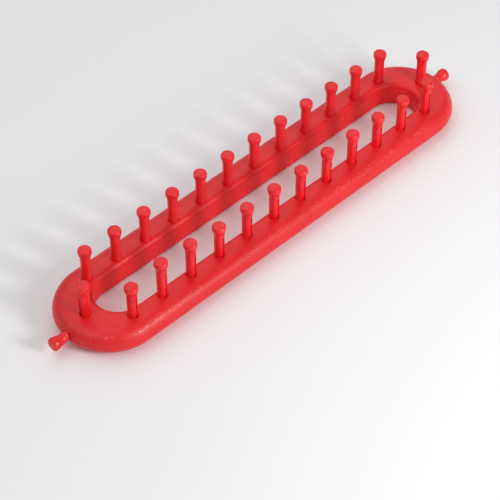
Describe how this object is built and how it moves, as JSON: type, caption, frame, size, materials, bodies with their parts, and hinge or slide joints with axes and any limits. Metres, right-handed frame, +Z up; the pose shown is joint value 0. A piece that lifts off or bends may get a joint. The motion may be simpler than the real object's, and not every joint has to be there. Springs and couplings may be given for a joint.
{
  "type": "knitting loom",
  "caption": "Long plastic knitting loom: a slotted, round-ended frame with rows of push-in grooved pegs along its rails and short anchor pegs on its ends for the yarn tail.",
  "frame": {"origin": "middle of the underside, on the surface that the loom lies on", "axes": "+X along the slot towards the right end peg, +Y from the front row to the back row, +Z up along the upright pegs"},
  "size_m": [0.253, 0.0504, 0.0325],
  "materials": {
    "frame": "satin",
    "peg": "gloss"
  },
  "bodies": {
    "frame": {"frame": "frame"},
    "peg_front_01": {"peg_front_01": "peg"},
    "peg_front_02": {"peg_front_02": "peg"},
    "peg_front_03": {"peg_front_03": "peg"},
    "peg_front_04": {"peg_front_04": "peg"},
    "peg_front_05": {"peg_front_05": "peg"},
    "peg_front_06": {"peg_front_06": "peg"},
    "peg_front_07": {"peg_front_07": "peg"},
    "peg_front_08": {"peg_front_08": "peg"},
    "peg_front_09": {"peg_front_09": "peg"},
    "peg_front_10": {"peg_front_10": "peg"},
    "peg_front_11": {"peg_front_11": "peg"},
    "peg_front_12": {"peg_front_12": "peg"},
    "peg_back_01": {"peg_back_01": "peg"},
    "peg_back_02": {"peg_back_02": "peg"},
    "peg_back_03": {"peg_back_03": "peg"},
    "peg_back_04": {"peg_back_04": "peg"},
    "peg_back_05": {"peg_back_05": "peg"},
    "peg_back_06": {"peg_back_06": "peg"},
    "peg_back_07": {"peg_back_07": "peg"},
    "peg_back_08": {"peg_back_08": "peg"},
    "peg_back_09": {"peg_back_09": "peg"},
    "peg_back_10": {"peg_back_10": "peg"},
    "peg_back_11": {"peg_back_11": "peg"},
    "peg_back_12": {"peg_back_12": "peg"},
    "peg_end_left": {"peg_end_left": "peg"},
    "peg_end_right": {"peg_end_right": "peg"},
    "anchor_peg_left": {"anchor_peg_left": "peg"},
    "anchor_peg_right": {"anchor_peg_right": "peg"}
  },
  "joints": [
    {"name": "peg_front_01_pull", "type": "slide", "parent": "frame", "child": "peg_front_01", "axis": [0, 0, 1], "range_m": [0, 0.009]},
    {"name": "peg_front_02_pull", "type": "slide", "parent": "frame", "child": "peg_front_02", "axis": [0, 0, 1], "range_m": [-0.0026, 0.0064]},
    {"name": "peg_front_03_pull", "type": "slide", "parent": "frame", "child": "peg_front_03", "axis": [0, 0, 1], "range_m": [-0.0018, 0.0072]},
    {"name": "peg_front_04_pull", "type": "slide", "parent": "frame", "child": "peg_front_04", "axis": [0, 0, 1], "range_m": [0, 0.009]},
    {"name": "peg_front_05_pull", "type": "slide", "parent": "frame", "child": "peg_front_05", "axis": [0, 0, 1], "range_m": [0, 0.009]},
    {"name": "peg_front_06_pull", "type": "slide", "parent": "frame", "child": "peg_front_06", "axis": [0, 0, 1], "range_m": [0, 0.009]},
    {"name": "peg_front_07_pull", "type": "slide", "parent": "frame", "child": "peg_front_07", "axis": [0, 0, 1], "range_m": [0, 0.009]},
    {"name": "peg_front_08_pull", "type": "slide", "parent": "frame", "child": "peg_front_08", "axis": [0, 0, 1], "range_m": [0, 0.009]},
    {"name": "peg_front_09_pull", "type": "slide", "parent": "frame", "child": "peg_front_09", "axis": [0, 0, 1], "range_m": [0, 0.009]},
    {"name": "peg_front_10_pull", "type": "slide", "parent": "frame", "child": "peg_front_10", "axis": [0, 0, 1], "range_m": [0, 0.009]},
    {"name": "peg_front_11_pull", "type": "slide", "parent": "frame", "child": "peg_front_11", "axis": [0, 0, 1], "range_m": [0, 0.009]},
    {"name": "peg_front_12_pull", "type": "slide", "parent": "frame", "child": "peg_front_12", "axis": [0, 0, 1], "range_m": [0, 0.009]},
    {"name": "peg_back_01_pull", "type": "slide", "parent": "frame", "child": "peg_back_01", "axis": [0, 0, 1], "range_m": [0, 0.009]},
    {"name": "peg_back_02_pull", "type": "slide", "parent": "frame", "child": "peg_back_02", "axis": [0, 0, 1], "range_m": [0, 0.009]},
    {"name": "peg_back_03_pull", "type": "slide", "parent": "frame", "child": "peg_back_03", "axis": [0, 0, 1], "range_m": [0, 0.009]},
    {"name": "peg_back_04_pull", "type": "slide", "parent": "frame", "child": "peg_back_04", "axis": [0, 0, 1], "range_m": [0, 0.009]},
    {"name": "peg_back_05_pull", "type": "slide", "parent": "frame", "child": "peg_back_05", "axis": [0, 0, 1], "range_m": [0, 0.009]},
    {"name": "peg_back_06_pull", "type": "slide", "parent": "frame", "child": "peg_back_06", "axis": [0, 0, 1], "range_m": [0, 0.009]},
    {"name": "peg_back_07_pull", "type": "slide", "parent": "frame", "child": "peg_back_07", "axis": [0, 0, 1], "range_m": [0, 0.009]},
    {"name": "peg_back_08_pull", "type": "slide", "parent": "frame", "child": "peg_back_08", "axis": [0, 0, 1], "range_m": [0, 0.009]},
    {"name": "peg_back_09_pull", "type": "slide", "parent": "frame", "child": "peg_back_09", "axis": [0, 0, 1], "range_m": [0, 0.009]},
    {"name": "peg_back_10_pull", "type": "slide", "parent": "frame", "child": "peg_back_10", "axis": [0, 0, 1], "range_m": [0, 0.009]},
    {"name": "peg_back_11_pull", "type": "slide", "parent": "frame", "child": "peg_back_11", "axis": [0, 0, 1], "range_m": [0, 0.009]},
    {"name": "peg_back_12_pull", "type": "slide", "parent": "frame", "child": "peg_back_12", "axis": [0, 0, 1], "range_m": [0, 0.009]},
    {"name": "peg_end_left_pull", "type": "slide", "parent": "frame", "child": "peg_end_left", "axis": [0, 0, 1], "range_m": [0, 0.009]},
    {"name": "peg_end_right_pull", "type": "slide", "parent": "frame", "child": "peg_end_right", "axis": [0, 0, 1], "range_m": [0, 0.009]},
    {"name": "anchor_peg_left_pull", "type": "slide", "parent": "frame", "child": "anchor_peg_left", "axis": [-1, 0, 0], "range_m": [0, 0.0075]},
    {"name": "anchor_peg_right_pull", "type": "slide", "parent": "frame", "child": "anchor_peg_right", "axis": [1, 0, 0], "range_m": [0, 0.0075]}
  ]
}
